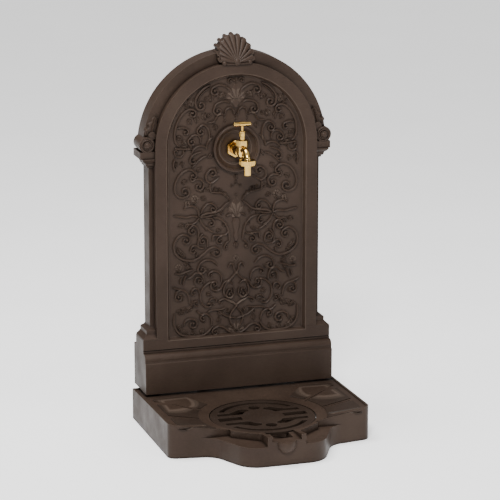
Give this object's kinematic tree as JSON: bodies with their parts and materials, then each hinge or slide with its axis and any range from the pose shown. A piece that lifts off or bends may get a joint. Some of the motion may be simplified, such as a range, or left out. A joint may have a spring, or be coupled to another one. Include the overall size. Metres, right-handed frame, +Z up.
{
  "type": "drinking fountain",
  "caption": "Wall drinking fountain: a cast arched back panel with relief scrolls, a brass bib tap, a moulded plinth and a basin tray with a lift-out round grate.",
  "frame": {"origin": "on the ground under the middle of the whole object", "axes": "+Z up, -Y out of the front towards the user, +Y towards the wall, +X to the user's right"},
  "size_m": [0.395, 0.3899, 0.75],
  "materials": {
    "cast_bronze": "satin",
    "dark_cast": "satin",
    "brass": "polished",
    "zinc_steel": "satin",
    "rubber": "matte",
    "red_fibre": "matte"
  },
  "bodies": {
    "fountain": {"back_panel": "cast_bronze", "plinth": "cast_bronze", "basin_tray": "cast_bronze", "tap_body": "brass", "wall_nut": "brass", "rear_backnut": "brass", "bonnet": "brass", "gland_nut": "brass", "union_nut": "brass", "hose_tail": "brass", "waste_tail": "brass", "waste_backnut": "brass", "flange_bolts": "zinc_steel", "flange_washers": "zinc_steel", "flange_nuts": "zinc_steel", "rear_washer": "zinc_steel", "rear_gasket": "rubber", "gland_packing": "rubber", "hose_washer": "rubber", "waste_gasket": "rubber", "wall_gasket": "red_fibre", "bonnet_gasket": "red_fibre"},
    "grate": {"drain_grate": "dark_cast"},
    "valve": {"jumper": "brass", "seat_washer": "rubber", "jumper_nut": "brass"},
    "spindle": {"spindle": "brass", "tee_bar": "brass"}
  },
  "joints": [
    {"name": "grate_lift", "type": "slide", "parent": "fountain", "child": "grate", "axis": [0, 0, 1], "range_m": [0, 0.08]},
    {"name": "valve_rise", "type": "slide", "parent": "fountain", "child": "valve", "axis": [0, 0, 1], "range_m": [0, 0.003]},
    {"name": "spindle_turn", "type": "hinge", "parent": "valve", "child": "spindle", "pos_m": [0, 0.094, 0.5864], "axis": [0, 0, 1], "range_deg": [0, 720]}
  ],
  "couplings": [
    {"joint": "spindle_turn", "follows": "valve_rise", "rad_per_m": 4188.7}
  ]
}
